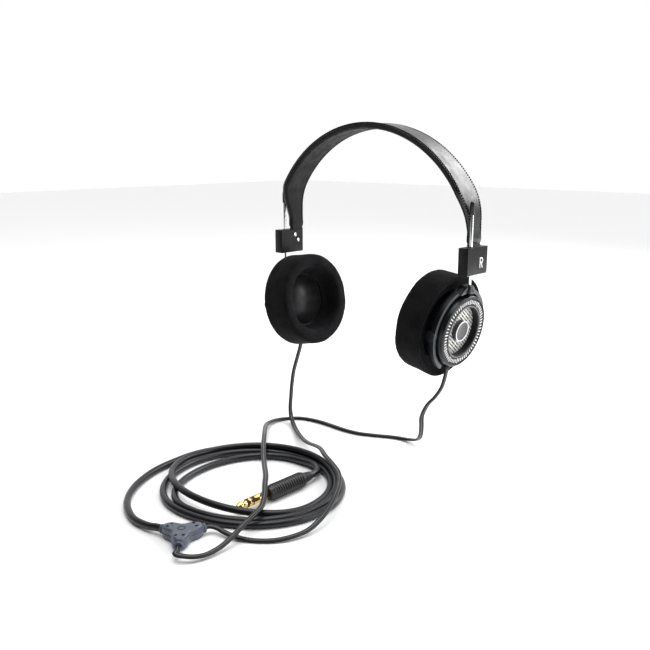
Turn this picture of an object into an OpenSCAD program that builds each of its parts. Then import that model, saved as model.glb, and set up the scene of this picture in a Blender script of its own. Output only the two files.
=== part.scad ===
// Open-backed headphones with a stitched leather headband, held up by the band.
// Origin: underside of the band at its crown, +X towards the right ear, +Z up. Millimetres.

/* [Headband] */
// Radius of the crown arc, on the outside of the leather
band_r = 106.5; // [100:0.5:112]
// Width of the leather band
band_w = 27; // [24:0.5:30]
// Thickness of the outer leather
top_t = 1.6; // [1.2:0.1:2]
// Thickness of the spring strip
spring_t = 0.6; // [0.4:0.1:0.8]
// Thickness of the lining leather
lining_t = 1.8; // [1.4:0.1:2.2]
// Height of the table that the cord lies on, below the crown
table_z = -270; // [-272:1:-268]

/* [Rods] */
// Distance of each rod from the middle plane
rod_x = 98; // [97:0.5:99]
// Radius of a rod
rod_r = 1.2; // [1:0.1:1.3]
// Radius of the cap on a rod
cap_r = 1.9; // [1.6:0.1:2.1]
// Height of a rod block
block_h = 20.5; // [18:0.5:22]
// Width of a rod block
block_w = 27; // [25:0.5:29]

/* [Cups] */
// Distance of each cup's pivot from the middle plane
cup_x = 86.2; // [85.5:0.1:87]
// Lean of each cup from upright, in degrees
cup_lean = 10; // [8:1:12]
// Outer radius of a cup shell
shell_r = 28.5; // [28:0.1:29]
// Inner radius of the yoke
yoke_r = 30.3; // [30:0.1:31]
// Outer radius of an ear cushion
cushion_r = 41; // [39:0.5:43]
// Thickness of an ear cushion
cushion_t = 25.2; // [20:0.2:27]

/* [Cord] */
// Diameter of the thick cable
cable_d = 5.3; // [5:0.1:5.6]
// Diameter of each thin lead
lead_d = 4; // [3.6:0.1:4]
// Height of the wound coil
coil_h = 10.5; // [10:0.5:12]
// Radius of the plug's grip
grip_r = 6; // [5.5:0.1:6]

/* [Hidden] */
SIDES = ["right", "left"];
SIDE_NODES = ["rod_block", "side_mark", "rod_bush", "bush_retainer", "band_rivets", "rod", "rod_cap",
    "yoke", "rod_screw", "pivot_pins", "cup_shell", "grille_ring", "grille_mesh", "centre_button",
    "baffle", "driver_frame", "driver_magnet", "voice_coil", "diaphragm", "driver_grid",
    "ear_cushion", "strain_relief"];
$fn = 64;

// Headband: a crown arc, a tighter arc on each side, then straight ends
band_t = top_t + spring_t + lining_t;
crown_z = band_t - band_r;
crown_a = 55.5;
turn_r = 45;
turn_x = (band_r - turn_r) * sin(crown_a);
turn_z = crown_z + (band_r - turn_r) * cos(crown_a);
block_z1 = -87.5;
block_z0 = block_z1 - block_h;
band_end_z = block_z1 + 0.3;
taper_z0 = -48;
taper_z1 = -76;
end_y = -1.9;

// Rod, its block and its bush
rod_y = -4.5;
block_x0 = 92.9;
block_x1 = 101.3;
bush_r = 2;
bush_z0 = -106;
bush_z1 = -90;
run = 0.05;
retainer_r = 2.6;
guide_r = 1.4;
rod_z0 = -121.5;
rod_z1 = -56;
cap_z0 = -63.5;
cap_z1 = -53.5;
strip_end_z = -101;
rivet_r = 1;
rivets = [[3.2, -92.5], [7, -97.5]];
boss_z = -116.5;

// Cup: w is the distance outwards from the pivot, along the cup's own axis
cup_z = -151;
face_w = 8.8;
yoke_w0 = -0.2;
yoke_w1 = 4.3;
yoke_t = 3;
yoke_gap_a = 30;
pin_r = 1.2;
pin_y0 = 24.5;
pin_y1 = 33.9;
boss_r = 4.4;
relief_r = 2.4;
relief_end = 33.5;
flange_r = 31.5;
back_w = -7.4;
mesh_w0 = 2.6;
mesh_w1 = 3.4;
ring_r = 19.4;
button_r = 8.3;

// Cord pieces on the table
cable_z = table_z + cable_d / 2;
lead_z = table_z + lead_d / 2;
coil_at = [-15, -129];
coil_half = 9;
coil_out = 70;
hole_at = [-8, -134];
hole_half = 3;
coil_in = 50;
split_at = [17, -218];
split_arm = 17;
split_turns = [75, 195, 315];
split_t = 9;
split_z = table_z + split_t / 2;
split_r = 4.4;
plug_x = 17;
plug_z = table_z + grip_r;
shank_r = 3.175;

// Routes of the cords, from the cup or the splitter
function arm(i, d = split_arm) = [split_at[0] + d * cos(split_turns[i]),
    split_at[1] + d * sin(split_turns[i]), split_z];
function from_cup(side, p) = [side * (cup_x - p * sin(cup_lean)), rod_y, cup_z - p * cos(cup_lean)];
lead_right_route = [from_cup(1, relief_end + 0.1), from_cup(1, 41), [76, -4.5, -201], [70, -4, -210],
    [62, -3, -219], [55, 0, -231], [50, 7, -243], [43, 16, -255], [34, 24, -263.5], [22, 28, -267.6],
    [8, 26, lead_z], [-8, 18, lead_z], [-22, 12, lead_z], [-37, 10, lead_z], [-52, 10.5, lead_z],
    [-66, 11, lead_z], [-79, 9.5, lead_z], [-91, 5, lead_z], [-99, -4, lead_z], [-102, -16, lead_z],
    [-98, -29, lead_z], [-89, -41, -267.6], [-77, -53, -262], [-66, -64, -257.2], [-55, -75, -256.8],
    [-43, -87, -256.8], [-28, -101, -256.9], [-12, -115, -256.6], [2, -127, -256.1], [14, -139, -255.9],
    [28, -153, -256.2], [38, -165, -256.8], [43, -177, -256.8], [46, -189, -258.4], [47.5, -200, -262.5],
    [48, -211, -266], [47.5, -222, -267], [44, -231, -266.4], arm(2, 27), arm(2, 22), arm(2, split_arm + 0.1)];
lead_left_route = [from_cup(-1, relief_end + 0.1), from_cup(-1, 41), [-84, -4.5, -206], [-88, -5, -219],
    [-90.5, -5, -232], [-92.5, -4.5, -245], [-94.5, -3.5, -256], [-92, -5, -264.5], [-84, -10.5, -267.7],
    [-72, -19, lead_z], [-58, -29, lead_z], [-43, -38.5, lead_z], [-30, -45.5, -266.5], [-17, -51.5, -260.6],
    [-5, -58, -256.9], [9, -68, -256.8], [25, -77, -256.8], [39, -86, -256.8], [50, -97, -256.8],
    [60, -111, -256.8], [68, -126, -257.6], [73, -141, -261.5], [74, -156, -266], [70, -170, lead_z],
    [62, -181, lead_z], [51, -189.5, lead_z], [41.5, -193.6, -267.6], [34, -195.2, -267], [28.5, -195.5, -266.4],
    [24.5, -196.8, -265.8], arm(0, 19.6), arm(0, split_arm + 0.1)];
cable_out_route = [arm(1, split_arm + 0.1), arm(1, 24), [-16, -226.5, cable_z], [-28, -226, cable_z],
    [-40, -221, cable_z], [-51, -212, cable_z], [-58, -200, cable_z], [-61.5, -187, cable_z]];

// One tube along points, by carrying a side vector from ring to ring
function unit(v) = v / norm(v);
function heading(p, i) = unit(p[min(i + 1, len(p) - 1)] - p[max(i - 1, 0)]);
function square_to(v, t) = unit(v - (v * t) * t);
function carried(p, start) = [for (i = 0, v = square_to(start, heading(p, 0)); i < len(p);
    i = i + 1, v = i < len(p) ? square_to(v, heading(p, i)) : v) v];

module tube(p, d, sides = 8) {
    side = carried(p, [0.1, 1, 0.05]);
    rings = [for (i = [0:len(p) - 1]) let (t = heading(p, i), u = side[i], v = cross(t, u))
        for (k = [0:sides - 1]) p[i] + d / 2 * (cos(360 * k / sides) * u + sin(360 * k / sides) * v)];
    walls = [for (i = [0:len(p) - 2], k = [0:sides - 1]) let (a = i * sides + k,
        b = i * sides + (k + 1) % sides) each [[a, a + sides, b + sides], [a, b + sides, b]]];
    start = [for (k = [0:sides - 1]) k];
    end = [for (k = [sides - 1:-1:0]) (len(p) - 1) * sides + k];
    polyhedron(points = rings, faces = concat(walls, [start, end]), convexity = 10);
}

// Helpers
module on(side) {
    if (side == "left") mirror([1, 0, 0]) children();
    else children();
}
module side_prism(outline) {
    translate([-120, 0, 0]) rotate([90, 0, 90]) linear_extrude(240) polygon(outline);
}
module along_y(r, y0, y1) {
    translate([0, y1, 0]) rotate([90, 0, 0]) cylinder(r = r, h = y1 - y0);
}
module in_cup() {
    translate([cup_x, rod_y, cup_z]) rotate([0, cup_lean, 0]) children();
}
module turned(outline, $fn = 128) {
    rotate([0, 90, 0]) rotate_extrude() polygon(outline);
}
module disc(r, w0, w1) {
    translate([w0, 0, 0]) rotate([0, 90, 0]) cylinder(r = r, h = w1 - w0, $fn = 96);
}

// Headband
function corner(r, a) = [turn_x + (turn_r - band_r + r) * sin(a), turn_z + (turn_r - band_r + r) * cos(a)];
function half_line(r) = concat([for (a = [0:2.5:crown_a - 1]) [r * sin(a), crown_z + r * cos(a)]],
    [for (a = [crown_a:2.5:88.5]) corner(r, a)], [corner(r, 90), [corner(r, 90)[0], block_z0]]);
function flipped(p) = [for (i = [len(p) - 1:-1:1]) [-p[i][0], p[i][1]]];
function whole_line(r) = concat(flipped(half_line(r)), half_line(r));
function backwards(p) = [for (i = [len(p) - 1:-1:0]) p[i]];
module band_layer(inner, outer, w, end_z, trim) {
    half = w / 2;
    intersection() {
        translate([0, half, 0]) rotate([90, 0, 0]) linear_extrude(w)
            polygon(concat(whole_line(outer), backwards(whole_line(inner))));
        side_prism([[-half - 1, 10], [half + 1, 10], [half + 1, taper_z1], [half - trim, taper_z1 - 2],
            [half - trim, end_z], [end_y + trim, end_z], [end_y + trim, taper_z1], [-half - 1, taper_z0]]);
    }
}
module leather_top() {
    color("#26282b") band_layer(band_r - top_t, band_r, band_w, band_end_z, 0);
}
module spring_strip() {
    color("#9a9da0") difference() {
        band_layer(band_r - top_t - spring_t, band_r - top_t, band_w - 7, strip_end_z, 1);
        for (x = [-95, 95], p = rivets) translate([x - 5, p[0], p[1]]) rotate([0, 90, 0]) cylinder(r = rivet_r, h = 10);
    }
}
module leather_lining() {
    color("#1b1c1e") band_layer(band_r - band_t, band_r - top_t - spring_t, band_w, band_end_z, 0);
}

// Rod blocks
strip_x1 = turn_x + turn_r - top_t;
strip_x0 = strip_x1 - spring_t;
slot_gap = 0.1;
module rod_block() {
    color("#2b2c2e") difference() {
        translate([block_x0, -block_w / 2, block_z0]) cube([block_x1 - block_x0, block_w, block_h]);
        translate([strip_x0 - slot_gap, end_y + 1 - slot_gap, strip_end_z - 0.5])
            cube([spring_t + 2 * slot_gap, (band_w - 7) / 2 - 1 - end_y - 1 + 2 * slot_gap, 20]);
        translate([rod_x, rod_y, block_z0 - 1]) cylinder(r = guide_r, h = block_h + 2);
        translate([rod_x, rod_y, bush_z0 - 1]) cylinder(r = bush_r + run, h = bush_z1 - bush_z0 + 1);
        translate([rod_x, rod_y, block_z0 - 1]) cylinder(r = retainer_r, h = bush_z0 - block_z0 + 1);
        for (p = rivets) translate([block_x0 - 1, p[0], p[1]]) rotate([0, 90, 0]) cylinder(r = rivet_r, h = 4.1);
    }
}
// Plain side letter on the block's outer face: where its lower corner is, its size and its stroke
mark_y = 2.8;
mark_z = -103.4;
mark_w = 4.6;
mark_h = 8;
mark_line = 1;
mark_t = 0.25;
letter_r = 2.2;
leg_w = 1.15;
leg_y = 1.4;
module letter_bowl() {
    for (z = [mark_h - mark_line, mark_h - 2 * letter_r]) translate([0, z]) square([mark_w - letter_r, mark_line]);
    translate([mark_w - letter_r, mark_h - letter_r]) intersection() {
        difference() {
            circle(r = letter_r, $fn = 32);
            circle(r = letter_r - mark_line, $fn = 32);
        }
        translate([0, -letter_r]) square(2 * letter_r);
    }
}
module letter_leg() {
    top = mark_h - 2 * letter_r + mark_line / 2;
    polygon([[leg_y, top], [leg_y + leg_w, top], [mark_w, 0], [mark_w - leg_w, 0]]);
}
module letter(side) {
    square([mark_line, mark_h]);
    if (side == "left") square([mark_w, mark_line]);
    else {
        letter_bowl();
        letter_leg();
    }
}
module side_mark(side) {
    turn = side == "left" ? 1 : 0;
    color("#e9e9e6") translate([block_x1, mark_y + turn * mark_w, mark_z]) rotate([90, 0, 90])
        linear_extrude(mark_t) mirror([turn, 0]) letter(side);
}
module ring_z(r0, r1, z0, z1) {
    translate([rod_x, rod_y, z0]) difference() {
        cylinder(r = r1, h = z1 - z0);
        translate([0, 0, -1]) cylinder(r = r0, h = z1 - z0 + 2);
    }
}
module rod_bush() {
    color("#d8d3c4") ring_z(rod_r + run, bush_r, bush_z0 + run, bush_z1 - run);
}
module bush_retainer() {
    color("#3a3b3d") ring_z(guide_r, retainer_r, block_z0, bush_z0);
}
module band_rivets() {
    color("#8f9295") for (p = rivets) translate([0, p[0], p[1]]) {
        translate([block_x0 - 0.6, 0, 0]) rotate([0, 90, 0]) cylinder(r1 = 1.5, r2 = 1.9, h = 0.6);
        translate([block_x0, 0, 0]) rotate([0, 90, 0]) cylinder(r = rivet_r, h = 3);
    }
}

// Rod, cap, yoke
module rod() {
    color("#c9ccce") translate([rod_x, rod_y, rod_z0]) cylinder(r = rod_r, h = rod_z1 - rod_z0);
}
module rod_cap() {
    color("#151516") translate([rod_x, rod_y, 0]) difference() {
        union() {
            translate([0, 0, cap_z0]) cylinder(r = cap_r, h = cap_z1 - cap_r - cap_z0);
            translate([0, 0, cap_z1 - cap_r]) sphere(r = cap_r);
        }
        translate([0, 0, cap_z0 - 1]) cylinder(r = rod_r, h = rod_z1 - cap_z0 + 1);
    }
}
module yoke_web() {
    top = 36;
    foot = 26;
    in_cup() translate([0.4, 0, 0]) rotate([90, 0, 90]) linear_extrude(6.2)
        polygon([[-15.5, foot], [-4, top], [4, top], [15.5, foot]]);
    translate([rod_x, rod_y, boss_z - 9]) cylinder(r = 3.3, h = 9);
}
module yoke_arc() {
    rotate([0, 90, 0]) rotate([0, 0, yoke_gap_a]) rotate_extrude(angle = 360 - 2 * yoke_gap_a, $fn = 128)
        translate([yoke_r, yoke_w0]) square([yoke_t, yoke_w1 - yoke_w0]);
}
screw_z = -119.6;
screw_r = 1.1;
module yoke() {
    color("#4a4d50") difference() {
        union() {
            in_cup() {
                yoke_arc();
                for (s = [-1, 1]) scale([1, s, 1]) along_y(boss_r, yoke_r - 0.4, pin_y1);
            }
            difference() {
                yoke_web();
                in_cup() along_y(yoke_r + 0.3, -20, 20);
                in_cup() disc(yoke_r + 0.6, -10, 20);
            }
        }
        in_cup() along_y(pin_r + run, -60, 60);
        translate([rod_x, rod_y, rod_z0]) cylinder(r = rod_r, h = 20);
        translate([rod_x, rod_y, screw_z]) rotate([0, 90, 0]) cylinder(r = screw_r, h = 11);
    }
}
module rod_screw() {
    color("#161718") translate([rod_x + rod_r, rod_y, screw_z]) rotate([0, 90, 0]) difference() {
        cylinder(r = screw_r, h = 1.9);
        translate([0, 0, 1.1]) cylinder(r = 0.5, h = 2, $fn = 6);
    }
}
module pivot_pins() {
    color("#8a8d90") in_cup() for (s = [-1, 1]) scale([1, s, 1]) along_y(pin_r, pin_y0, pin_y1);
}

// Cup
wall = 2;
shell_in = shell_r - wall;
rim_r = shell_r - 1.7;
ledge_w = face_w - 1.8;
shell_w0 = -9;
flange_w = -11;
module cup_shell() {
    color("#2d2f33") in_cup() difference() {
        turned([[shell_in, shell_w0], [shell_r, shell_w0], [shell_r, face_w - 1.4], [rim_r + 0.4, face_w],
            [rim_r, face_w], [rim_r, ledge_w], [25, ledge_w], [25, ledge_w - 1.2], [shell_in, ledge_w - 2.7]]);
        along_y(pin_r, -60, 60);
        rotate([180, 0, 0]) cylinder(r = relief_r, h = 60);
    }
}
module grille_ring() {
    color("#b9bcbf") in_cup() turned([[ring_r, mesh_w1], [ring_r + 1, mesh_w1], [ring_r + 1, ledge_w],
        [rim_r, ledge_w], [rim_r, face_w - 0.3], [rim_r - 0.3, face_w], [ring_r + 0.5, face_w],
        [ring_r, face_w - 0.5]]);
}
slot_w = 1.3;
slot_pitch = 2.4;
module grille_mesh() {
    reach = ring_r - 0.6;
    keep = button_r - 0.4;
    color("#8f9396") in_cup() difference() {
        disc(ring_r + 1, mesh_w0, mesh_w1);
        for (i = [1:7]) let (y = (i - 0.5) * slot_pitch, z1 = sqrt(reach * reach - y * y),
            z0 = y + slot_w < keep ? sqrt(keep * keep - y * y) : 0.6, s0 = min(z0 + 0.6, z1 - 2))
            for (sy = [-1, 1], sz = [-1, 1]) scale([1, sy, sz])
                translate([mesh_w0 - 1, y - slot_w / 2, s0]) cube([4, slot_w, z1 - s0]);
    }
}
module centre_button() {
    color("#6d7073") in_cup() turned([[0, mesh_w1], [button_r, mesh_w1], [button_r, face_w - 2],
        [button_r - 0.7, face_w - 1.3], [button_r - 1.5, face_w - 1.3], [button_r - 1.8, face_w - 1.6],
        [0, face_w - 1.6]]);
}
driver_r = 20.4;
module baffle() {
    color("#1d1e20") in_cup() turned([[driver_r + 0.1, flange_w], [flange_r, flange_w], [flange_r, shell_w0],
        [driver_r + 0.1, shell_w0]]);
}
module driver_frame() {
    color("#2a2b2e") in_cup() difference() {
        turned([[7.2, -6.5], [7.2, -5.5], [15, -5.5], [driver_r, -8], [driver_r + 2, -8],
            [driver_r + 2, shell_w0], [driver_r, shell_w0], [driver_r, flange_w], [19.4, flange_w],
            [19.4, -8.9], [17.5, -8.9], [17.5, -8.4], [14.5, -6.5]]);
        for (a = [0:45:315]) rotate([a, 0, 0]) translate([-8, 0, 11.6]) rotate([0, 90, 0]) cylinder(r = 1.7, h = 5);
    }
}
module driver_magnet() {
    color("#77797c") in_cup() turned([[2, -5.5], [6.1, -5.5], [6.1, -2.5], [7, -2.5], [7, -5.5], [9, -5.5],
        [9, -1], [2, -1]]);
}
module voice_coil() {
    color("#a8683a") in_cup() turned([[6.4, -8.9], [6.7, -8.9], [6.7, -4.2], [6.4, -4.2]]);
}
module diaphragm() {
    color("#c8c4b8") in_cup() turned([[0, -10.3], [0, -10], [6.4, -8.9], [19.4, -8.9], [19.4, -9.2],
        [6.4, -9.2]]);
}
module driver_grid() {
    color("#303235") in_cup() disc(driver_r + 2, flange_w - 0.3, flange_w);
}
module ear_cushion() {
    front = flange_w - cushion_t + 7.8;
    color("#17181a") in_cup() turned([[shell_r + 0.3, back_w], [35, back_w], [cushion_r - 1, back_w + 4.2],
        [cushion_r - 0.5, back_w + 4.2], [cushion_r - 0.3, back_w + 3.4], [cushion_r - 0.9, front + 2],
        [cushion_r - 1.8, front + 0.4], [cushion_r - 3, front], [30.5, front], [29, front + 0.8],
        [28.4, front + 2.4], [25.8, -16], [23.2, -13.4], [22.8, flange_w], [flange_r + 0.3, flange_w],
        [flange_r + 0.3, shell_w0], [shell_r + 0.3, shell_w0]]);
}
module strain_relief() {
    color("#131415") in_cup() rotate([180, 0, 0]) {
        translate([0, 0, shell_in - 1]) cylinder(r = relief_r, h = relief_end - shell_in + 1);
        translate([0, 0, shell_in - 2.2]) cylinder(r = relief_r + 1, h = 1.4);
    }
}

// Cords, splitter and plug
module splitter_shell(z0, z1) {
    corner = 11;
    translate([split_at[0], split_at[1], 0]) difference() {
        union() {
            for (i = [0:2]) rotate([0, 0, split_turns[i]]) {
                translate([corner, 0, z0]) cylinder(r = split_r, h = z1 - z0);
                translate([corner, 0, split_z]) rotate([0, 90, 0]) rotate([0, 0, 45])
                    cylinder(r = 3.4, h = split_arm - corner);
            }
            translate([0, 0, z0]) linear_extrude(z1 - z0) polygon([for (i = [0:2], s = [-1, 1])
                corner * [cos(split_turns[i]), sin(split_turns[i])]
                + (split_r - 0.05) * [cos(split_turns[i] + s * 60), sin(split_turns[i] + s * 60)]]);
        }
        translate([-40, -40, z1]) cube([80, 80, 40]);
        translate([-40, -40, z0 - 40]) cube([80, 80, 40]);
        for (a = [0, 120, 240]) rotate([0, 0, split_turns[0] + a]) for (s = [-1, 1])
            translate([9.4, 2.4 * s, split_z - 2]) cylinder(r = 0.8, h = 20);
    }
}
module splitter_top() {
    color("#3b3e44") splitter_shell(split_z, table_z + split_t);
}
module splitter_base() {
    color("#33363b") splitter_shell(table_z, split_z);
}
module splitter_screws() {
    color("#101112") translate([split_at[0], split_at[1], 0]) for (a = [0, 120, 240])
        rotate([0, 0, split_turns[0] + a]) for (s = [-1, 1]) translate([9.4, 2.4 * s, split_z - 1.8])
            cylinder(r = 0.8, h = split_t / 2 + 1.4);
}
module lead_right() {
    color("#1a1b1d") tube(lead_right_route, lead_d);
}
module lead_left() {
    color("#1a1b1d") tube(lead_left_route, lead_d);
}
module main_cable() {
    color("#3a3c40") tube(cable_out_route, cable_d, 12);
}
module stadium(at, half, r, z0, h) {
    for (s = [-1, 1]) translate([at[0] + s * half, at[1], z0]) cylinder(r = r, h = h, $fn = 128);
    translate([at[0] - half, at[1] - r, z0]) cube([2 * half, 2 * r, h]);
}
module cable_coil() {
    color("#3a3c40") {
        difference() {
            stadium(coil_at, coil_half, coil_out, table_z, coil_h);
            stadium(hole_at, hole_half, coil_in, table_z - 1, coil_h + 2);
        }
        translate([plug_x, 0, plug_z]) along_y(cable_d / 2, -93, -87);
    }
}
module turned_y(outline) {
    translate([plug_x, 0, plug_z]) rotate([90, 0, 0]) rotate_extrude($fn = 64) polygon(outline);
}
ribs = 13;
grip_y0 = 103;
grip_y1 = 136;
collar_y1 = 139;
module plug_grip() {
    pitch = (grip_y1 - grip_y0 - 2.5) / ribs;
    low = grip_r - 0.5;
    color("#18191a") turned_y(concat([[0, grip_y0], [grip_r - 1, grip_y0], [low, grip_y0 + 0.5], [low, grip_y0 + 1]],
        [for (i = [0:ribs - 1], k = [[low, 0.1], [grip_r, 0.4], [grip_r, 0.8], [low, 1]])
            [k[0], grip_y0 + 1 + (i + k[1]) * pitch]],
        [[low, grip_y1 - 0.5], [grip_r - 1, grip_y1], [5.2, grip_y1 + 0.2], [5.2, collar_y1 - 0.8],
        [4.4, collar_y1], [0, collar_y1]]));
}
module plug_relief() {
    color("#1c1d1f") turned_y([[0, 93], [2.7, 93], [3, 93.6], [4.5, 101.5], [4.5, grip_y0], [0, grip_y0]]);
}
sleeve_y1 = collar_y1 + 16;
module plug_sleeve() {
    color("#d9b45a") turned_y([[0, collar_y1], [shank_r, collar_y1], [shank_r, sleeve_y1], [0, sleeve_y1]]);
}
module plug_insulators() {
    color("#141516") for (y = [sleeve_y1, sleeve_y1 + 4.6])
        turned_y([[0, y], [shank_r - 0.05, y], [shank_r - 0.05, y + 1], [0, y + 1]]);
}
module plug_ring() {
    color("#d9b45a") turned_y([[0, sleeve_y1 + 1], [shank_r, sleeve_y1 + 1], [shank_r, sleeve_y1 + 4.6],
        [0, sleeve_y1 + 4.6]]);
}
module plug_tip() {
    y = sleeve_y1 + 5.6;
    color("#d9b45a") turned_y([[0, y], [2.6, y], [2.2, y + 1.6], [2.2, y + 2.6], [3.1, y + 4.6], [2.7, y + 6.6],
        [1.6, y + 8.8], [0.5, y + 9.6], [0, y + 9.6]]);
}

leather_top();
spring_strip();
leather_lining();
on("right") rod_block();  // rod_block_right
on("left") rod_block();  // rod_block_left
on("right") side_mark("right");  // side_mark_right
on("left") side_mark("left");  // side_mark_left
on("right") rod_bush();  // rod_bush_right
on("left") rod_bush();  // rod_bush_left
on("right") bush_retainer();  // bush_retainer_right
on("left") bush_retainer();  // bush_retainer_left
on("right") band_rivets();  // band_rivets_right
on("left") band_rivets();  // band_rivets_left
on("right") rod();  // rod_right
on("left") rod();  // rod_left
on("right") rod_cap();  // rod_cap_right
on("left") rod_cap();  // rod_cap_left
on("right") yoke();  // yoke_right
on("left") yoke();  // yoke_left
on("right") rod_screw();  // rod_screw_right
on("left") rod_screw();  // rod_screw_left
on("right") pivot_pins();  // pivot_pins_right
on("left") pivot_pins();  // pivot_pins_left
on("right") cup_shell();  // cup_shell_right
on("left") cup_shell();  // cup_shell_left
on("right") grille_ring();  // grille_ring_right
on("left") grille_ring();  // grille_ring_left
on("right") grille_mesh();  // grille_mesh_right
on("left") grille_mesh();  // grille_mesh_left
on("right") centre_button();  // centre_button_right
on("left") centre_button();  // centre_button_left
on("right") baffle();  // baffle_right
on("left") baffle();  // baffle_left
on("right") driver_frame();  // driver_frame_right
on("left") driver_frame();  // driver_frame_left
on("right") driver_magnet();  // driver_magnet_right
on("left") driver_magnet();  // driver_magnet_left
on("right") voice_coil();  // voice_coil_right
on("left") voice_coil();  // voice_coil_left
on("right") diaphragm();  // diaphragm_right
on("left") diaphragm();  // diaphragm_left
on("right") driver_grid();  // driver_grid_right
on("left") driver_grid();  // driver_grid_left
on("right") ear_cushion();  // ear_cushion_right
on("left") ear_cushion();  // ear_cushion_left
on("right") strain_relief();  // strain_relief_right
on("left") strain_relief();  // strain_relief_left
lead_right();
lead_left();
splitter_top();
splitter_base();
splitter_screws();
main_cable();
cable_coil();
plug_grip();
plug_relief();
plug_sleeve();
plug_insulators();
plug_ring();
plug_tip();
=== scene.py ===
import math

import bmesh
import bpy
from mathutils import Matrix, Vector
from mathutils import noise as mnoise


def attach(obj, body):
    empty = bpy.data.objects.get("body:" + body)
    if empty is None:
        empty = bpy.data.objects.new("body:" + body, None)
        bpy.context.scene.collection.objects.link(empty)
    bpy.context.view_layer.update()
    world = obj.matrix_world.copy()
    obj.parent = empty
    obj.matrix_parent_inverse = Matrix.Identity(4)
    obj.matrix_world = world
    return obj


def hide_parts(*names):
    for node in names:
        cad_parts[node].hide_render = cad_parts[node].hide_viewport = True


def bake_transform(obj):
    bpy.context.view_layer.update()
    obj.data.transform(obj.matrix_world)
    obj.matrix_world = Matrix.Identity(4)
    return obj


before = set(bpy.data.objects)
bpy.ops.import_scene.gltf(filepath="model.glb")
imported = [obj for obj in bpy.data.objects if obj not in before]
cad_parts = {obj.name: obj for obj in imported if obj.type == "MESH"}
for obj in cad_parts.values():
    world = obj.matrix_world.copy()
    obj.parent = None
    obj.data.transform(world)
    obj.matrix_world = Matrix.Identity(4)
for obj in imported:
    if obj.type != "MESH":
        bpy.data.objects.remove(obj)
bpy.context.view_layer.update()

# Sizes and places are in millimetres in the CAD's frame, and MM turns them into Blender's metres.
# The camera, lamps and floor are placed in metres. "way" is +1 on the right side and -1 on the left.
MM = 0.001
UP = Vector((0, 0, 1))
ACROSS = Vector((0, 1, 0))
TABLE_Z = -270.0
SIDES = (("right", 1), ("left", -1))


def mm(*p):
    return Vector(p) * MM


def unit(v):
    return v.normalized()


# ---------------------------------------------------------------- camera
cam_data = bpy.data.cameras.new("camera")
camera = bpy.data.objects.new("camera", cam_data)
bpy.context.scene.collection.objects.link(camera)
bpy.context.scene.camera = camera
CAM_TURN, CAM_DOWN = math.radians(42.355), math.radians(12.811)
camera.location = (0.4084, -0.5060, -0.0147)
look = Vector((-math.sin(CAM_TURN) * math.cos(CAM_DOWN),
               math.cos(CAM_TURN) * math.cos(CAM_DOWN),
               -math.sin(CAM_DOWN)))
camera.rotation_mode = "QUATERNION"
camera.rotation_quaternion = look.to_track_quat("-Z", "Y")
cam_data.sensor_width = 36
cam_data.lens = 43.36
cam_data.clip_start, cam_data.clip_end = 0.02, 20


# ---------------------------------------------------------------- materials
def material(name, color, rough, metal=0.0, **sockets):
    """A principled material and its tree; more sockets by name with spaces as underscores."""
    mat = bpy.data.materials.new(name)
    mat.use_nodes = True
    tree = mat.node_tree
    shader = tree.nodes["Principled BSDF"]
    shader.inputs["Base Color"].default_value = (*color, 1)
    shader.inputs["Roughness"].default_value = rough
    shader.inputs["Metallic"].default_value = metal
    for key, value in sockets.items():
        shader.inputs[key.replace("_", " ")].default_value = value
    mat.diffuse_color = (*color, 1)
    return mat


def node(tree, kind, **values):
    """A new node; each value goes to the socket of that name, or else to the node's own setting."""
    made = tree.nodes.new(kind)
    for key, value in values.items():
        if key in made.inputs:
            made.inputs[key].default_value = value
        else:
            setattr(made, key, value)
    return made


def object_space(tree, scale=(1, 1, 1)):
    """The piece's own coordinates, stretched by scale."""
    coords = node(tree, "ShaderNodeTexCoord")
    mapping = node(tree, "ShaderNodeMapping")
    mapping.inputs["Scale"].default_value = scale
    tree.links.new(coords.outputs["Object"], mapping.inputs["Vector"])
    return mapping.outputs["Vector"]


def ramp(tree, source, stops):
    """A colour ramp on a value, between two stops (place, colour)."""
    made = node(tree, "ShaderNodeValToRGB")
    for element, (place, color) in zip(made.color_ramp.elements, stops):
        element.position, element.color = place, (*color, 1)
    tree.links.new(source, made.inputs["Fac"])
    return made.outputs["Color"]


def spread(tree, source, low, high, lo_in=0.3, hi_in=0.7):
    """Maps a value from lo_in..hi_in to low..high."""
    made = node(tree, "ShaderNodeMapRange")
    made.inputs["From Min"].default_value, made.inputs["From Max"].default_value = lo_in, hi_in
    made.inputs["To Min"].default_value, made.inputs["To Max"].default_value = low, high
    tree.links.new(source, made.inputs["Value"])
    return made.outputs["Result"]


def bump(mat, layers):
    """Bump layers [(height output, distance in mm, strength)], chained onto the shader's normal."""
    tree = mat.node_tree
    last = None
    for height, depth, strength in layers:
        made = node(tree, "ShaderNodeBump")
        made.inputs["Distance"].default_value = depth * MM
        made.inputs["Strength"].default_value = strength
        tree.links.new(height, made.inputs["Height"])
        if last:
            tree.links.new(last, made.inputs["Normal"])
        last = made.outputs["Normal"]
    tree.links.new(last, tree.nodes["Principled BSDF"].inputs["Normal"])


def noise_of(tree, vector, per_mm, detail=3.0, rough=0.55, distort=0.0):
    """Soft noise with per_mm waves to the millimetre."""
    made = node(tree, "ShaderNodeTexNoise")
    made.inputs["Scale"].default_value = per_mm / MM
    made.inputs["Detail"].default_value = detail
    made.inputs["Roughness"].default_value = rough
    made.inputs["Distortion"].default_value = distort
    tree.links.new(vector, made.inputs["Vector"])
    return made.outputs["Fac"]


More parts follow.
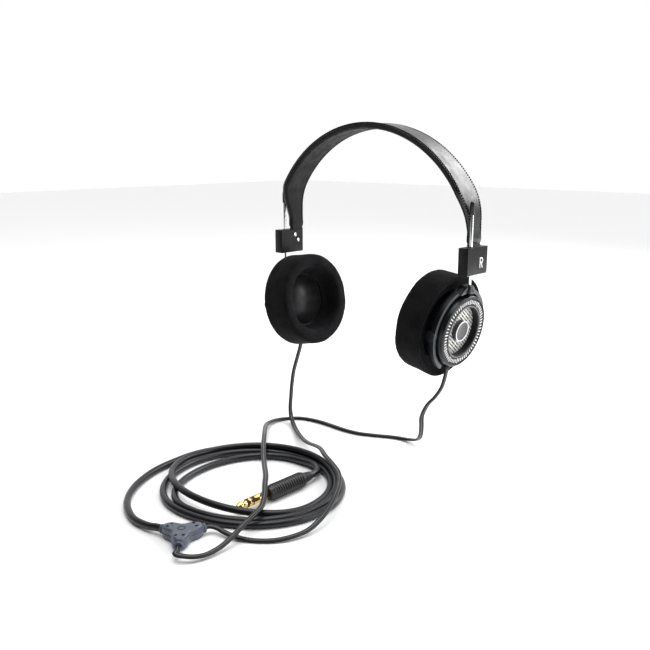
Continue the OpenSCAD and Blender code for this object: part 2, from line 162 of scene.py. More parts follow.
def cells_of(tree, vector, per_mm, randomness=1.0):
    """The distance from the middle of the nearest cell, with per_mm cells to the millimetre."""
    made = node(tree, "ShaderNodeTexVoronoi")
    made.inputs["Scale"].default_value = per_mm / MM
    made.inputs["Randomness"].default_value = randomness
    tree.links.new(vector, made.inputs["Vector"])
    return made.outputs["Distance"]


def tints(color, *factors):
    """The colour, darker or lighter by each factor."""
    return [tuple(c * k for c in color) for k in factors]


def plain(name, color, rough, metal=0.0, grain=0.5, depth=0.01, vary=0.25, **sockets):
    """Moulded or finished stock: fine grain bump, slow colour change and uneven gloss."""
    mat = material(name, color, rough, metal, **sockets)
    tree = mat.node_tree
    shader = tree.nodes["Principled BSDF"]
    space = object_space(tree)
    slow = noise_of(tree, space, 0.05, 3)
    dark, light = tints(color, 1 - vary, 1 + vary)
    tree.links.new(ramp(tree, slow, [(0.3, dark), (0.7, light)]), shader.inputs["Base Color"])
    smear = noise_of(tree, space, 0.16, 5, 0.65)
    tree.links.new(spread(tree, smear, max(rough - 0.07, 0.03), rough + 0.08), shader.inputs["Roughness"])
    bump(mat, [(noise_of(tree, space, grain, 2), depth, 0.6)])
    return mat


def leather(name, color, rough, pebble=0.85, depth=0.07, crease=0.22, coat=0.12, spec=0.5):
    """Grained leather: long creases, pebbled grain and fine pores, with uneven gloss."""
    mat = material(name, color, rough, Coat_Weight=coat, Coat_Roughness=0.32, Specular_IOR_Level=spec)
    tree = mat.node_tree
    shader = tree.nodes["Principled BSDF"]
    space = object_space(tree)
    warped = noise_of(tree, space, 0.35, 4, 0.6, 0.4)
    dark, light = tints(color, 0.6, 1.5)
    tree.links.new(ramp(tree, warped, [(0.3, dark), (0.72, light)]), shader.inputs["Base Color"])
    slow = noise_of(tree, space, 0.11, 5, 0.62)
    tree.links.new(spread(tree, slow, rough - 0.09, rough + 0.12, 0.34, 0.66), shader.inputs["Roughness"])
    grain = cells_of(tree, space, pebble)
    pores = noise_of(tree, space, 2.6, 2)
    creases = noise_of(tree, object_space(tree, (0.35, 1, 0.35)), 0.22, 5, 0.7, 0.8)
    bump(mat, [(creases, crease, 0.5), (grain, depth, 0.45), (pores, 0.012, 0.5)])
    return mat


def foam(name, color):
    """Open-cell foam: coarse and fine pores, with painted shade darkening the middle of each cell, no gloss.
    """
    mat = material(name, color, 0.95, Specular_IOR_Level=0.12, Sheen_Weight=0.06, Sheen_Roughness=0.6)
    mat.node_tree.nodes["Principled BSDF"].inputs["Sheen Tint"].default_value = (0.35, 0.36, 0.4, 1)
    tree = mat.node_tree
    shader = tree.nodes["Principled BSDF"]
    space = object_space(tree)
    pores = cells_of(tree, space, 1.25)
    fine = cells_of(tree, space, 3.1)
    patch = noise_of(tree, space, 0.12, 4)
    dark, light = tints(color, 0.35, 1.35)
    shade_mix = node(tree, "ShaderNodeMix", data_type="RGBA", blend_type="MULTIPLY")
    shade_mix.inputs[0].default_value = 0.7
    tree.links.new(ramp(tree, patch, [(0.3, dark), (0.7, light)]), shade_mix.inputs[6])
    # painted shade: the pores darken the middle of each cell, where shade falls in the open pores, and
    # lighten the walls between them
    tree.links.new(ramp(tree, pores, [(0.05, (0.3, 0.3, 0.3)), (0.45, (1.2, 1.2, 1.2))]), shade_mix.inputs[7])
    tree.links.new(shade_mix.outputs[2], shader.inputs["Base Color"])
    bump(mat, [(pores, 0.35, 0.7), (fine, 0.12, 0.6)])
    return mat


def turned_metal(name, color, rough, axis, fine=3.5, depth=0.006, metal=1.0, vary=0.12):
    """Metal with fine rings cut round an axis, given as (origin in mm, direction)."""
    mat = material(name, color, rough, metal)
    tree = mat.node_tree
    shader = tree.nodes["Principled BSDF"]
    origin, direction = axis
    coords = node(tree, "ShaderNodeTexCoord")
    away = node(tree, "ShaderNodeVectorMath", operation="SUBTRACT")
    tree.links.new(coords.outputs["Object"], away.inputs[0])
    away.inputs[1].default_value = mm(*origin)
    across = node(tree, "ShaderNodeVectorMath", operation="CROSS_PRODUCT")
    tree.links.new(away.outputs[0], across.inputs[0])
    across.inputs[1].default_value = direction
    radius = node(tree, "ShaderNodeVectorMath", operation="LENGTH")
    tree.links.new(across.outputs[0], radius.inputs[0])
    line = node(tree, "ShaderNodeTexNoise", noise_dimensions="1D")
    line.inputs["Scale"].default_value = fine / MM
    line.inputs["Detail"].default_value = 2
    tree.links.new(radius.outputs["Value"], line.inputs["W"])
    slow = noise_of(tree, coords.outputs["Object"], 0.07, 3)
    dark, light = tints(color, 1 - vary, 1 + vary)
    tree.links.new(ramp(tree, slow, [(0.3, dark), (0.7, light)]), shader.inputs["Base Color"])
    tree.links.new(spread(tree, line.outputs["Fac"], rough - 0.06, rough + 0.1), shader.inputs["Roughness"])
    bump(mat, [(line.outputs["Fac"], depth, 0.6)])
    return mat


def brushed(name, color, rough, along, fine=1.6, depth=0.004):
    """Drawn or brushed metal: streaks run along one object axis."""
    mat = material(name, color, rough, 1.0)
    tree = mat.node_tree
    shader = tree.nodes["Principled BSDF"]
    streaks = noise_of(tree, object_space(tree, tuple(0.03 if a == along else 1 for a in "xyz")), fine, 3)
    slow = noise_of(tree, object_space(tree), 0.08, 3)
    dark, light = tints(color, 0.85, 1.12)
    tree.links.new(ramp(tree, slow, [(0.3, dark), (0.7, light)]), shader.inputs["Base Color"])
    tree.links.new(spread(tree, streaks, max(rough - 0.06, 0.02), rough + 0.08), shader.inputs["Roughness"])
    bump(mat, [(streaks, depth, 0.5)])
    return mat


M = {
    "leather": leather("leather_black", (0.0065, 0.0066, 0.0072), 0.33),
    "lining": leather("leather_lining", (0.0065, 0.0065, 0.0072), 0.62, 1.6, 0.03, 0.05,
                      coat=0.0, spec=0.22),
    "thread": plain("stitch_thread", (0.0035, 0.0035, 0.0038), 0.85, grain=3.0, depth=0.05,
                    Specular_IOR_Level=0.2),
    "block": plain("block_plastic", (0.0065, 0.0066, 0.0074), 0.46, grain=1.4, depth=0.012,
                   Specular_IOR_Level=0.24),
    "white": plain("mark_white", (0.80, 0.80, 0.78), 0.5, vary=0.05),
    "natural": plain("natural_acetal", (0.62, 0.58, 0.48), 0.4, vary=0.08),
    "steel": brushed("drawn_steel", (0.72, 0.73, 0.75), 0.16, "z"),
    "strip": brushed("spring_strip_steel", (0.50, 0.51, 0.53), 0.3, "x"),
    "screw": plain("blackened_steel", (0.012, 0.012, 0.012), 0.35, 0.8),
    "cap": plain("cap_black", (0.0045, 0.0045, 0.0050), 0.28, grain=0.8),
    "foam": foam("pad_foam", (0.0050, 0.0050, 0.0056)),
    "black": plain("moulded_black", (0.0055, 0.0055, 0.0060), 0.5, grain=1.2),
    "rubber": plain("relief_rubber", (0.0065, 0.0065, 0.0070), 0.5, grain=0.9),
    "jacket": plain("cable_jacket", (0.0070, 0.0072, 0.0095), 0.33, grain=0.6, depth=0.015, vary=0.3,
                    Specular_IOR_Level=0.42),
    "lead": plain("lead_jacket", (0.0045, 0.0045, 0.0055), 0.36, grain=0.6, depth=0.01, vary=0.3,
                  Specular_IOR_Level=0.34),
    # painted highlight: a lighter grey for the lead's middle line, standing in for the shine along its
    # groove
    "lead_painted_highlight": plain("lead_centre_painted_highlight", (0.14, 0.145, 0.16), 0.3, grain=0.8, vary=0.2),
    "splitter": plain("splitter_plastic", (0.070, 0.083, 0.115), 0.38, grain=1.6, depth=0.012, vary=0.15),
    "grip": plain("grip_black", (0.0050, 0.0050, 0.0056), 0.36, grain=1.1, depth=0.012),
    "gold": plain("gold_plate", (0.80, 0.55, 0.20), 0.16, 1.0, grain=0.6, depth=0.002, vary=0.08),
    "copper": brushed("copper_wire", (0.55, 0.24, 0.11), 0.3, "x", 4.0, 0.02),
    "mesh": plain("mesh_lacquer", (0.74, 0.73, 0.70), 0.3, 0.35, grain=1.5, depth=0.01, vary=0.1),
    "film": plain("diaphragm_film", (0.60, 0.56, 0.46), 0.25, vary=0.06),
    "magnet": plain("plated_magnet", (0.42, 0.42, 0.44), 0.3, 0.9),
}


# ---------------------------------------------------------------- mesh tools
def piece(name, verts, faces, mats, body=None, face_mats=None, sharp=32, smooth=True):
    """A mesh piece from points in metres, which rides on a body if one is given.

    face_mats gives each face's place in mats, and edges over sharp degrees stay crisp.
    """
    mesh = bpy.data.meshes.new(name)
    mesh.from_pydata([tuple(v) for v in verts], [], faces)
    for mat in mats if isinstance(mats, (list, tuple)) else [mats]:
        mesh.materials.append(mat)
    if face_mats:
        mesh.polygons.foreach_set("material_index", face_mats)
    made = bmesh.new()
    made.from_mesh(mesh)
    bmesh.ops.remove_doubles(made, verts=made.verts, dist=1e-7)
    bmesh.ops.recalc_face_normals(made, faces=made.faces)
    made.to_mesh(mesh)
    made.free()
    if smooth:
        mesh.polygons.foreach_set("use_smooth", [True] * len(mesh.polygons))
        mesh.set_sharp_from_angle(angle=math.radians(sharp))
    obj = bpy.data.objects.new(name, mesh)
    bpy.context.scene.collection.objects.link(obj)
    if body:
        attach(obj, body)
    return obj


def lathe(profile, place, steps=128):
    """Verts and faces of a closed profile [(radius, along)], turned.

    place(along, radius, angle) gives the point in metres.
    """
    verts, faces, n = [], [], len(profile)
    for i in range(steps):
        angle = 2 * math.pi * i / steps
        verts += [place(w, r, angle) for r, w in profile]
    for i in range(steps):
        a, b = i * n, (i + 1) % steps * n
        for k in range(n):
            k2 = (k + 1) % n
            corners = [a + k, b + k, b + k2, a + k2]
            if profile[k][0] < 1e-6:
                corners = [a + k, b + k2, a + k2]
            elif profile[k2][0] < 1e-6:
                corners = [a + k, b + k, a + k2]
            if profile[k][0] < 1e-6 and profile[k2][0] < 1e-6:
                continue
            faces.append(corners)
    return verts, faces


def merge(parts):
    """Several (verts, faces) as one."""
    verts, faces = [], []
    for some_verts, some_faces in parts:
        faces += [[k + len(verts) for k in face] for face in some_faces]
        verts += some_verts
    return verts, faces


def tube_faces(rings, n):
    """Faces of a closed skin over rings of n points each, with a cap at both ends."""
    faces = []
    for i in range(rings - 1):
        for k in range(n):
            k2 = (k + 1) % n
            faces.append([i * n + k, i * n + k2, (i + 1) * n + k2, (i + 1) * n + k])
    return faces + [list(range(n))[::-1], [(rings - 1) * n + k for k in range(n)]]


def smooth_path(points, per_span):
    """A Catmull-Rom curve through points, with per_span steps between each two."""
    out = []
    pts = [Vector(p) for p in points]
    for i in range(len(pts) - 1):
        p0, p1, p2, p3 = pts[max(i - 1, 0)], pts[i], pts[i + 1], pts[min(i + 2, len(pts) - 1)]
        if i == 0:
            p0 = p1 * 2 - p2
        if i == len(pts) - 2:
            p3 = p2 * 2 - p1
        for k in range(per_span):
            t = k / per_span
            out.append(0.5 * (2 * p1 + (p2 - p0) * t + (2 * p0 - 5 * p1 + 4 * p2 - p3) * t * t
                              + (3 * p1 - p0 - 3 * p2 + p3) * t * t * t))
    out.append(pts[-1])
    return out


def distances(path):
    """How far along the path each point is."""
    far = [0.0]
    for a, b in zip(path, path[1:]):
        far.append(far[-1] + (b - a).length)
    return far


def even(path, step):
    """The same path with points a steady step apart."""
    total = distances(path)
    count = max(round(total[-1] / step), 2)
    out, k = [], 0
    for i in range(count + 1):
        want = total[-1] * i / count
        while k < len(path) - 2 and total[k + 1] < want:
            k += 1
        part = (want - total[k]) / max(total[k + 1] - total[k], 1e-9)
        out.append(path[k].lerp(path[k + 1], min(max(part, 0), 1)))
    return out


def headings(path):
    """The path's direction at each point."""
    last = len(path) - 1
    return [unit(path[min(i + 1, last)] - path[max(i - 1, 0)]) for i in range(last + 1)]


def flat_sides(path, first):
    """Side vectors that lie level where the path does, and turn smoothly where it hangs."""
    heads = headings(path)
    sides, before = [], Vector(first)
    for t in heads:
        level = t.cross(UP)
        if level.length > 0.55:
            before = unit(level) * (1 if level.dot(before) >= 0 else -1)
        before = unit(before - before.dot(t) * t)
        sides.append(before)
    for _ in range(14):
        sides = [unit(sides[max(i - 1, 0)] + sides[i] * 2 + sides[min(i + 1, len(sides) - 1)])
                 for i in range(len(sides))]
        sides = [unit(s - s.dot(t) * t) for s, t in zip(sides, heads)]
    return sides


def swept(path, sides, outline):
    """A closed outline [(side, up)] swept on a path: verts in metres, and faces."""
    verts = []
    for p, t, s in zip(path, headings(path), sides):
        v = t.cross(s)
        verts += [(p + s * a + v * b) * MM for a, b in outline]
    return verts, tube_faces(len(path), len(outline))


def circle(radius, n):
    turns = [2 * math.pi * k / n for k in range(n)]
    return [(radius * math.cos(t), radius * math.sin(t)) for t in turns]


# ---------------------------------------------------------------- cords
CUP_LEAN = math.radians(10)
PIVOT = Vector((86.2, -4.5, -151.0))
RELIEF_END = 33.5
LEAD_Z = TABLE_Z + 1.25
SPLIT = Vector((17, -218, 0))
SPLIT_TURNS = (75, 195, 315)
SPLIT_Z = TABLE_Z + 4.5


def arm(i, reach):
    """A point on the splitter's arm i: 0 takes the left lead, 1 the main cable, 2 the right lead."""
    a = math.radians(SPLIT_TURNS[i])
    return (SPLIT.x + reach * math.cos(a), SPLIT.y + reach * math.sin(a), SPLIT_Z)


def below_cup(way, p):
    """A point on the cup's axis through its strain relief, p below the pivot."""
    return (way * (PIVOT.x - p * math.sin(CUP_LEAN)), PIVOT.y, PIVOT.z - p * math.cos(CUP_LEAN))


LEAD_RIGHT = [
    below_cup(1, RELIEF_END), below_cup(1, 41),
    (76, -4.5, -201), (70, -4, -210), (62, -3, -219), (55, 0, -231),
    (50, 7, -243), (43, 16, -255), (34, 24, -263.5), (22, 28, -267.8), (8, 26, LEAD_Z), (-8, 18, LEAD_Z),
    (-22, 12, LEAD_Z), (-37, 10, LEAD_Z), (-52, 10.5, LEAD_Z), (-66, 11, LEAD_Z), (-79, 9.5, LEAD_Z),
    (-91, 5, LEAD_Z), (-99, -4, LEAD_Z), (-102, -16, -267.8), (-98, -29, -266.2), (-89, -41, -263.6),
    (-77, -53, -260.4), (-66, -64, -258.2), (-55, -75, -257.3), (-43, -87, -257.4), (-28, -101, -258.2),
    (-12, -115, -258), (2, -127, -257), (14, -139, -256.6), (28, -153, -257), (38, -165, -257.6),
    (43, -177, -258), (46, -189, -259.8), (47.5, -200, -263.4), (48, -211, -266.4), (47.5, -222, -267.3),
    (44, -231, -266.6), arm(2, 27), arm(2, 22), arm(2, 16.6)]
LEAD_LEFT = [
    below_cup(-1, RELIEF_END), below_cup(-1, 41), (-84, -4.5, -206), (-88, -5, -219), (-90.5, -5, -232),
    (-92.5, -4.5, -245), (-94.5, -3.5, -256), (-92, -5, -264.5), (-84, -10.5, -268), (-72, -19, LEAD_Z),
    (-58, -29, -267.6), (-43, -38.5, -266.2), (-30, -45.5, -263.8), (-17, -51.5, -260.8), (-5, -58, -258.4),
    (9, -68, -257.2), (25, -77, -257.2), (39, -86, -257.3), (50, -97, -257.4), (60, -111, -257.8),
    (68, -126, -259.4), (73, -141, -262.8), (74, -156, -266.4), (70, -170, -267.8), (62, -181, LEAD_Z),
    (51, -189.5, LEAD_Z), (41.5, -193.6, -267.9), (34, -195.2, -267.2), (28.5, -195.5, -266.5),
    (24.5, -196.8, -265.9), arm(0, 19.6), arm(0, 16.6)]

# A lead's outline is a figure of eight: two round cores with a narrow web between them. The web's faces
# get a lighter grey, a painted highlight for the shine down the middle
HALF_WEB, CORE = 0.95, 1.12
ARC_POINTS, ARC_DEGREES = 11, 264
LEAD_OUTLINE = []
for end, start in ((1, 0), (-1, math.pi)):
    for k in range(ARC_POINTS):
        turn = math.radians(-ARC_DEGREES / 2 + ARC_DEGREES / (ARC_POINTS - 1) * k) + start
        LEAD_OUTLINE.append((end * HALF_WEB + CORE * math.cos(turn), CORE * math.sin(turn)))

# Each lead is cut this far from its cup, and each part names two bodies; the last, whose two are the same,
# lies still on that body, and the others ride on none
LEAD_CUTS = (31, 84, 225)
LEAD_PARTS = (("a", "cup_{0}", "yoke_frame_{0}"), ("b", "yoke_frame_{0}", "bush_{0}"),
              ("c", "bush_{0}", "headband"), ("d", "headband", "headband"))
for side, points in (("right", LEAD_RIGHT), ("left", LEAD_LEFT)):
    route = even(smooth_path(points, 12), 1.5)
    route_sides = flat_sides(route, ACROSS)
    far = distances(route)
    cuts = [0, *(next(i for i, d in enumerate(far) if d > cut) for cut in LEAD_CUTS), len(route) - 1]
    for (letter, above, below), i, j in zip(LEAD_PARTS, cuts, cuts[1:]):
        bit = route[i:j + 1]
        verts, faces = swept(bit, route_sides[i:j + 1], LEAD_OUTLINE)
        # painted highlight: the web's faces take the lighter grey, a painted shine down the middle of the
        # lead
        web_highlight = [1 if k % ARC_POINTS == ARC_POINTS - 1 else 0 for k in range(len(LEAD_OUTLINE))]
        marks = web_highlight * (len(bit) - 1) + [0, 0]
        obj = piece(f"lead_{side}_{letter}", verts, faces, [M["lead"], M["lead_painted_highlight"]], None, marks, 40)
        if above == below:
            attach(obj, above)
        else:
            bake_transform(obj)
        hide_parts(f"lead_{side}")
        distances(bit)[-1] * MM

# The main cable: out of the splitter, three and three quarter turns, then into the plug
COIL = Vector((-15, -129, 0))
CABLE_R = 2.65
CABLE_Z = TABLE_Z + CABLE_R
# How far each crossing is from the coil's middle, and how high: left, back, right, front, and so on
CROSSINGS = [
    (76.5, 0.0), (67.5, 0.0), (76.5, 0.0), (67.0, 0.0),
    (62.5, 0.0), (62.0, 0.0), (65.0, 0.2), (52.0, 5.0),
    (69.5, 2.4), (64.6, 4.7), (70.8, 0.6), (61.5, 0.2),
    (47.0, 0.0), (55.8, 0.6)]
WAYS = [Vector((-1, 0, 0)), Vector((0, 1, 0)), Vector((1, 0, 0)), Vector((0, -1, 0))]
QUARTER_STEPS = 18
PLUG_X, PLUG_Z, PLUG_TAIL = 17.0, TABLE_Z + 6.0, -93.0
LEAD_IN_STEPS, BEND_STEPS = 6, 15
LEAD_IN_RISE, LEAD_IN_TOP, PLUG_RISE = 0.6, 1.6, PLUG_Z - CABLE_Z


def from_splitter():
    """Out of the splitter and round to the coil's left side."""
    points = [
        arm(1, 16.6), arm(1, 21), (-11, -225, -266.6), (-26, -225.2, CABLE_Z), (-41, -220.5, CABLE_Z),
        (-56, -211.5, CABLE_Z), (-69.5, -198, CABLE_Z), (-80.5, -180.5, CABLE_Z),
        (-88.5, -158.5, CABLE_Z), (-91.5, -129, CABLE_Z)]
    return smooth_path(points, 10)[:-1]


def round_turns():
    """The turns, a quarter of an ellipse from each crossing to the next."""
    points = []
    for i, ((e0, z0), (e1, z1)) in enumerate(zip(CROSSINGS, CROSSINGS[1:])):
        for k in range(QUARTER_STEPS):
            t = k / QUARTER_STEPS
            a = t * math.pi / 2
            rise = z0 + (z1 - z0) * (t * t * (3 - 2 * t))
            points.append(COIL + WAYS[i % 4] * e0 * math.cos(a) + WAYS[(i + 1) % 4] * e1 * math.sin(a)
                          + UP * (CABLE_Z + rise))
    return points


def into_plug():
    """From the coil's back, through a quarter turn, into the plug's tail."""
    points = []
    back_y = COIL.y + CROSSINGS[-1][0]
    turn_r = back_y - PLUG_TAIL
    turn_x = PLUG_X - turn_r
    for k in range(LEAD_IN_STEPS):
        t = k / LEAD_IN_STEPS
        rise = LEAD_IN_RISE + (LEAD_IN_TOP - LEAD_IN_RISE) * t
        points.append(Vector((COIL.x + (turn_x - COIL.x) * t, back_y, CABLE_Z + rise)))
    for k in range(BEND_STEPS + 1):
        t = k / BEND_STEPS
        a = math.pi / 2 * t
        rise = LEAD_IN_TOP + (PLUG_RISE - LEAD_IN_TOP) * t
        points.append(Vector((turn_x + turn_r * math.sin(a), PLUG_TAIL + turn_r * math.cos(a),
                              CABLE_Z + rise)))
    return points + [Vector((PLUG_X, PLUG_TAIL - 1.5, PLUG_Z))]


def eased(path):
    """The path with each inner point drawn towards its neighbours."""
    inner = [(a + b * 2 + c) / 4 for a, b, c in zip(path, path[1:], path[2:])]
    return [path[0], *inner, path[-1]]


cable = eased(eased(eased(from_splitter() + round_turns() + into_plug())))
cable = even(cable, 2.2)
verts, faces = swept(cable, flat_sides(cable, ACROSS), circle(CABLE_R, 20))
main_cable = piece("main_cable_wound", verts, faces, M["jacket"], "headband", sharp=40)
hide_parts("main_cable", "cable_coil")


# ---------------------------------------------------------------- splitter and plug
def lobed(angle, inset):
    """The splitter's three-lobed outline: its radius at an angle."""
    lobe = max((1 + math.cos(3 * (angle - math.radians(SPLIT_TURNS[0])))) / 2, 0) ** 1.35
    return 7.9 + 7.3 * lobe - inset


def layered(layers, steps=96):
    """A closed shell from [(inset, z)] outlines round the splitter's middle."""
    verts = []
    for inset, z in layers:
        for i in range(steps):
            a = 2 * math.pi * i / steps
            r = lobed(a, inset) if inset < 4 else lobed(a, 0) * (1 - inset / 11)
            verts.append(mm(SPLIT.x + r * math.cos(a), SPLIT.y + r * math.sin(a), SPLIT_Z + z))
    return verts, tube_faces(len(layers), steps)


def on_splitter(x, y):
    """A lathe's place() about an upright axis through x, y."""
    return lambda w, r, t: mm(x + r * math.cos(t), y + r * math.sin(t), SPLIT_Z + w)


SHELL = [(0.5, 0.04), (0.12, 0.22), (0, 0.5), (0.05, 2.6), (0.35, 3.5), (0.9, 4.1), (1.7, 4.42),
         (2.6, 4.5), (6.5, 4.5)]
splitter_upper = piece("splitter_upper", *layered(SHELL), M["splitter"], "headband", sharp=50)
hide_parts("splitter_top")
mirrored = [(inset, -z) for inset, z in SHELL]
splitter_lower = piece("splitter_lower", *layered(mirrored), M["splitter"], "headband", sharp=50)
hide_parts("splitter_base")

BOSS = [(0, 9.5), (3.35, 9.5), (3.35, 14.6), (2.75, 14.9), (2.75, 15.3), (3.25, 15.6), (3.25, 16.5),
        (2.8, 17.0), (0, 17.0)]
# The six dark dots are near-black discs standing on the face, painted shade for the screw holes' recesses
PIN = [(0, 3.9), (1.15, 3.9), (1.15, 4.56), (1.0, 4.62), (0.7, 4.5), (0, 4.5)]
PIN_REACH, PIN_APART = 9.8, 4.8
bosses, pins = [], []
for degrees in SPLIT_TURNS:
    a = math.radians(degrees)
    out, beside = Vector((math.cos(a), math.sin(a), 0)), Vector((-math.sin(a), math.cos(a), 0))
    middle = Vector((SPLIT.x, SPLIT.y, SPLIT_Z))

    def along_arm(w, r, t):
        return (middle + out * w + beside * r * math.cos(t) + UP * r * math.sin(t)) * MM
    bosses.append(lathe(BOSS, along_arm, 32))
    for end in (-1, 1):
        pin = SPLIT + out * PIN_REACH + beside * end * PIN_APART / 2
        pins.append(lathe(PIN, on_splitter(pin.x, pin.y), 20))
splitter_bosses = piece("splitter_bosses", *merge(bosses), M["splitter"], "headband")
splitter_hole_shade_discs = piece("splitter_hole_shade_discs", *merge(pins), M["screw"], "headband")
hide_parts("splitter_screws")

RING = [(2.0, 4.4), (2.8, 4.4), (2.8, 4.62), (2.65, 4.7), (2.15, 4.7), (2.0, 4.62)]
ring_mesh = lathe(RING, on_splitter(SPLIT.x, SPLIT.y), 48)
splitter_ring = piece("splitter_ring", *ring_mesh, M["black"], "headband")


def on_plug(w, r, t):
    """A lathe's place() about the plug's axis, which runs towards the front."""
    return mm(PLUG_X + r * math.cos(t), -w, PLUG_Z + r * math.sin(t))


# Profiles along the plug are (radius, distance in front of y = 0)
RIBS, RIBS_FROM, RIBS_LONG, GRIP_R = 13, 104, 30.4, 6.0
RIB = [(5.35, 0.12), (5.55, 0.26), (5.9, 0.38), (GRIP_R, 0.52), (GRIP_R, 0.68), (5.9, 0.8), (5.5, 0.93)]
pitch = RIBS_LONG / RIBS
grip = [(0, 102.4), (4.6, 102.4), (5.2, 102.7), (5.5, 103.2), (5.5, 103.9)]
for i in range(RIBS):
    grip += [(r, RIBS_FROM + (i + t) * pitch) for r, t in RIB]
grip += [(5.35, 134.7), (5.35, 135.0), (5.75, 135.3), (5.75, 136.0), (5.4, 136.5), (5.1, 137.2),
         (5.05, 138.3), (4.7, 138.9), (4.2, 139.0), (0, 139.0)]
plug_grip = piece("plug_grip_ribbed", *lathe(grip, on_plug, 72), M["grip"], "headband", sharp=40)
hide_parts("plug_grip")
# Each collar of the tail as (added radius, distance from its start)
COLLAR = [(0, 0), (0.12, 0.35), (0.12, 0.95), (0, 1.25), (-0.32, 1.4), (-0.32, 1.6)]
COLLARS, COLLAR_FROM, COLLAR_PITCH, COLLAR_R, COLLAR_GROWS = 4, 94.6, 1.75, 3.3, 0.28
tail = [(0, 93), (2.72, 93), (3.05, 93.3), (3.2, 93.9)]
for i in range(COLLARS):
    tail += [(COLLAR_R + COLLAR_GROWS * i + r, COLLAR_FROM + COLLAR_PITCH * i + y) for r, y in COLLAR]
tail += [(4.5, 101.8), (4.6, 102.2), (4.6, 103.4), (0, 103.4)]
plug_relief = piece("plug_relief_ribbed", *lathe(tail, on_plug, 48), M["rubber"], "headband", sharp=40)
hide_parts("plug_relief")

distances(cable)[-1] * MM


# ---------------------------------------------------------------- headband
BAND_R, CROWN_Z, CROWN_A = 106.5, -102.5, math.radians(55.5)
TURN_R = 45.0
TURN_X = (BAND_R - TURN_R) * math.sin(CROWN_A)
TURN_Z = CROWN_Z + (BAND_R - TURN_R) * math.cos(CROWN_A)
BLOCK_TOP = -87.5
NEAR_EDGE, FAR_EDGE = -13.4, 13.45
OUTER_H = 1.6


def band_stations(step=1.5):
    """Half the band's outer line, crown first: (x, z, outward x, outward z)."""
    half = []
    n = round(BAND_R * CROWN_A / step)
    for i in range(n):
        a = CROWN_A * i / n
        half.append((BAND_R * math.sin(a), CROWN_Z + BAND_R * math.cos(a), math.sin(a), math.cos(a)))
    n = round(TURN_R * (math.pi / 2 - CROWN_A) / step)
    for i in range(n):
        a = CROWN_A + (math.pi / 2 - CROWN_A) * i / n
        half.append((TURN_X + TURN_R * math.sin(a), TURN_Z + TURN_R * math.cos(a), math.sin(a), math.cos(a)))
    n = round((TURN_Z - BLOCK_TOP) / (step * 0.6))
    for i in range(n + 1):
        half.append((TURN_X + TURN_R, TURN_Z + (BLOCK_TOP + 0.15 - TURN_Z) * i / n, 1.0, 0.0))
    return [(-x, z, -nx, nz) for x, z, nx, nz in half[:0:-1]] + half


def near_edge(z):
    """The band's near edge: straight, then cut away towards the block."""
    t = min(max((-47 - z) / 30.0, 0), 1)
    t = t * t * (3 - 2 * t) * 0.35 + t * 0.65
    return NEAR_EDGE + 11.5 * t


def end_shape(z):
    """How far each edge draws in, and how much the leather stands up, close above the block."""
    d = z - BLOCK_TOP
    pinch = math.exp(-((d - 1.6) / 1.1) ** 2)
    puff = math.exp(-((d - 5.6) / 2.6) ** 2)
    return 1.15 * pinch - 0.25 * puff, -0.55 * pinch + 0.45 * puff


STATIONS = band_stations()


def band_surface(station, y, h):
    """A point on the band, h above the face between the leathers; its outer line is OUTER_H above it."""
    x, z, nx, nz = station
    return mm(x + nx * (h - OUTER_H), y, z + nz * (h - OUTER_H))


# Points across a leather; its rounded edge's radius and drop; how far in its seam and its back lie
SKIN_POINTS = 30
EDGE_R, EDGE_DROP, SEAM_IN, BACK_IN = 1.1, 0.95, 2.1, 0.12


def swell(station, y, edge, u, crown, groove):
    """How much a leather bows at y, and how far it stands proud: rounded at its edges, sunk at its seam."""
    x, z = station[:2]
    round_off = 1 - math.sqrt(max(0, 1 - (1 - min(edge / EDGE_R, 1)) ** 2))
    seam = math.exp(-((edge - SEAM_IN) / 0.5) ** 2)
    bow = math.sin(math.pi * u) ** 0.6
    wave = mnoise.noise(Vector((x * 0.06, y * 0.11, z * 0.06))) * 0.22 * bow
    fine = mnoise.noise(Vector((x * 0.22, y * 0.3, z * 0.22))) * 0.06
    return bow, crown * bow - round_off * EDGE_DROP - groove * seam + wave + fine


def skin(name, low, high, crown, mat, outside, inset=0.0, groove=0.3):
    """One leather of the band, from low to high, with its shaped face outside or inside."""
    verts = []
    for station in STATIONS:
        draw, rise = end_shape(station[1])
        y0, y1 = near_edge(station[1]) + draw + inset, FAR_EDGE - draw - inset
        face, back = [], []
        for k in range(SKIN_POINTS):
            u = k / (SKIN_POINTS - 1)
            y = y0 + (y1 - y0) * u
            bow, proud = swell(station, y, min(y - y0, y1 - y), u, crown, groove)
            face.append(band_surface(station, y, high + proud + rise * bow if outside else low - proud))
            back_y = y0 + BACK_IN + (y1 - y0 - 2 * BACK_IN) * (1 - u)
            back.append(band_surface(station, back_y, low if outside else high))
        verts += face + back
    return piece(name, verts, tube_faces(len(STATIONS), 2 * SKIN_POINTS), mat, "headband", sharp=55)


band_top = skin("band_leather", -0.25, 1.45, 0.3, M["leather"], True)
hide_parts("leather_top")
band_under = skin("band_lining", -2.3, -0.3, 0.15, M["lining"], False, 0.15, 0.15)
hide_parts("leather_lining")


def capsule(middle, along, side, out, length, radius, high):
    """A stitch: a thick thread that dips into the leather at both ends."""
    verts, steps, around = [], 7, 8
    for i in range(steps):
        t = -1 + 2 * i / (steps - 1)
        r = radius * max(1 - t ** 4, 0.06) ** 0.5
        lift = high * (1 - t * t) - 0.14
        for k in range(around):
            a = 2 * math.pi * k / around
            p = middle + along * (t * length / 2)
            verts.append((p + side * (r * math.cos(a)) + out * (r * math.sin(a) + lift)) * MM)
    return verts, tube_faces(steps, around)


STITCH_PITCH = 2.1


def near_seam(inset):
    return lambda z: near_edge(z) + inset


def far_seam(inset):
    return lambda z: FAR_EDGE - inset


